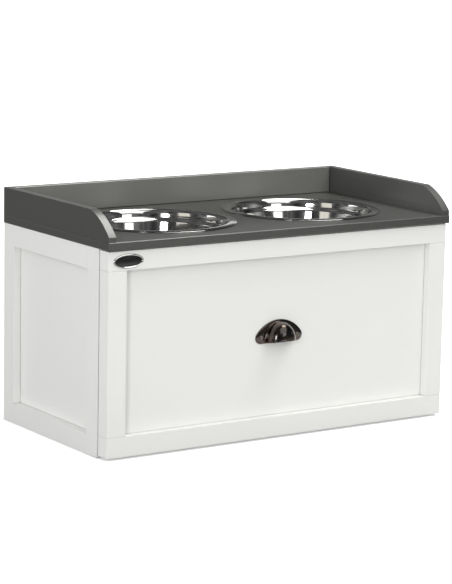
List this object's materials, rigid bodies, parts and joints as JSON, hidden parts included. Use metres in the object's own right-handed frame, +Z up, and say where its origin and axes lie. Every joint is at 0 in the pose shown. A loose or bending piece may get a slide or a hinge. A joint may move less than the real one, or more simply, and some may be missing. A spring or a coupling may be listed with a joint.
{
  "type": "elevated dog feeder with storage",
  "caption": "Raised pet feeding stand: framed cabinet with a full-width storage drawer on roller runners, and a tray top with lift-out steel bowls inside a low gallery.",
  "frame": {"origin": "bottom centre of the whole object with the drawer closed, at floor level", "axes": "+Z up, the drawer front and its pull face -Y, +X to the right as seen from the front"},
  "size_m": [0.6, 0.313, 0.352],
  "materials": {
    "grey_painted_wood": "dark grey satin paint on board",
    "white_painted_wood": "white satin paint on board",
    "polished_stainless_steel": "polished sheet steel",
    "oiled_bronze": "dark oil-rubbed bronze, satin",
    "zinc_plated_steel": "bright zinc plate",
    "white_enamelled_steel": "white stove enamel on folded sheet steel",
    "white_nylon": "natural nylon",
    "beech": "bare fluted beech dowel"
  },
  "bodies": {
    "cabinet": {"top_board": "grey_painted_wood", "left_gallery_board": "grey_painted_wood", "right_gallery_board": "grey_painted_wood", "back_gallery_board": "grey_painted_wood", "gallery_screws": "zinc_plated_steel", "left_side_board": "white_painted_wood", "left_side_front_stile": "white_painted_wood", "left_side_rear_stile": "white_painted_wood", "left_side_top_rail": "white_painted_wood", "left_side_bottom_rail": "white_painted_wood", "right_side_board": "white_painted_wood", "right_side_front_stile": "white_painted_wood", "right_side_rear_stile": "white_painted_wood", "right_side_top_rail": "white_painted_wood", "right_side_bottom_rail": "white_painted_wood", "bottom_panel": "white_painted_wood", "back_panel": "white_painted_wood", "back_panel_screws": "zinc_plated_steel", "front_stretcher": "white_painted_wood", "rear_stretcher": "white_painted_wood", "cabinet_cam_bolts": "zinc_plated_steel", "cabinet_cam_discs": "zinc_plated_steel", "cabinet_dowels": "beech", "left_cabinet_runner": "white_enamelled_steel", "right_cabinet_runner": "white_enamelled_steel", "cabinet_runner_screws": "zinc_plated_steel", "cabinet_roller_rivets": "zinc_plated_steel"},
    "drawer": {"drawer_front_panel": "white_painted_wood", "drawer_front_top_rail": "white_painted_wood", "drawer_front_bottom_rail": "white_painted_wood", "drawer_front_left_stile": "white_painted_wood", "drawer_front_right_stile": "white_painted_wood", "front_frame_dowels": "beech", "cup_pull": "oiled_bronze", "cup_pull_screws": "oiled_bronze", "left_drawer_side": "white_painted_wood", "right_drawer_side": "white_painted_wood", "drawer_back": "white_painted_wood", "drawer_bottom": "white_painted_wood", "drawer_cam_bolts": "zinc_plated_steel", "drawer_cam_discs": "zinc_plated_steel", "drawer_dowels": "beech", "drawer_back_screws": "zinc_plated_steel", "left_drawer_runner": "white_enamelled_steel", "right_drawer_runner": "white_enamelled_steel", "drawer_runner_screws": "zinc_plated_steel", "drawer_roller_rivets": "zinc_plated_steel"},
    "left_bowl": {"left_bowl": "polished_stainless_steel"},
    "right_bowl": {"right_bowl": "polished_stainless_steel"},
    "left_cabinet_roller": {"left_cabinet_roller": "white_nylon"},
    "right_cabinet_roller": {"right_cabinet_roller": "white_nylon"},
    "left_drawer_roller": {"left_drawer_roller": "white_nylon"},
    "right_drawer_roller": {"right_drawer_roller": "white_nylon"}
  },
  "joints": [
    {"name": "drawer_slide", "type": "slide", "parent": "cabinet", "child": "drawer", "axis": [0, -1, 0], "range_m": [0, 0.19]},
    {"name": "left_bowl_lift", "type": "slide", "parent": "cabinet", "child": "left_bowl", "axis": [0, 0, 1], "range_m": [0, 0.08]},
    {"name": "right_bowl_lift", "type": "slide", "parent": "cabinet", "child": "right_bowl", "axis": [0, 0, 1], "range_m": [0, 0.08]},
    {"name": "left_cabinet_roller_spin", "type": "hinge", "parent": "cabinet", "child": "left_cabinet_roller", "pos_m": [-0.27, -0.105, 0.0507], "axis": [1, 0, 0], "range_deg": [0, 1100]},
    {"name": "right_cabinet_roller_spin", "type": "hinge", "parent": "cabinet", "child": "right_cabinet_roller", "pos_m": [0.27, -0.105, 0.0507], "axis": [1, 0, 0], "range_deg": [0, 1100]},
    {"name": "left_drawer_roller_spin", "type": "hinge", "parent": "drawer", "child": "left_drawer_roller", "pos_m": [-0.27, 0.1185, 0.0503], "axis": [1, 0, 0], "range_deg": [0, 1100]},
    {"name": "right_drawer_roller_spin", "type": "hinge", "parent": "drawer", "child": "right_drawer_roller", "pos_m": [0.27, 0.1185, 0.0503], "axis": [1, 0, 0], "range_deg": [0, 1100]}
  ],
  "couplings": [
    {"joint": "left_cabinet_roller_spin", "follows": "drawer_slide", "rad_per_m": 100},
    {"joint": "right_cabinet_roller_spin", "follows": "drawer_slide", "rad_per_m": 100},
    {"joint": "left_drawer_roller_spin", "follows": "drawer_slide", "rad_per_m": 100},
    {"joint": "right_drawer_roller_spin", "follows": "drawer_slide", "rad_per_m": 100}
  ]
}
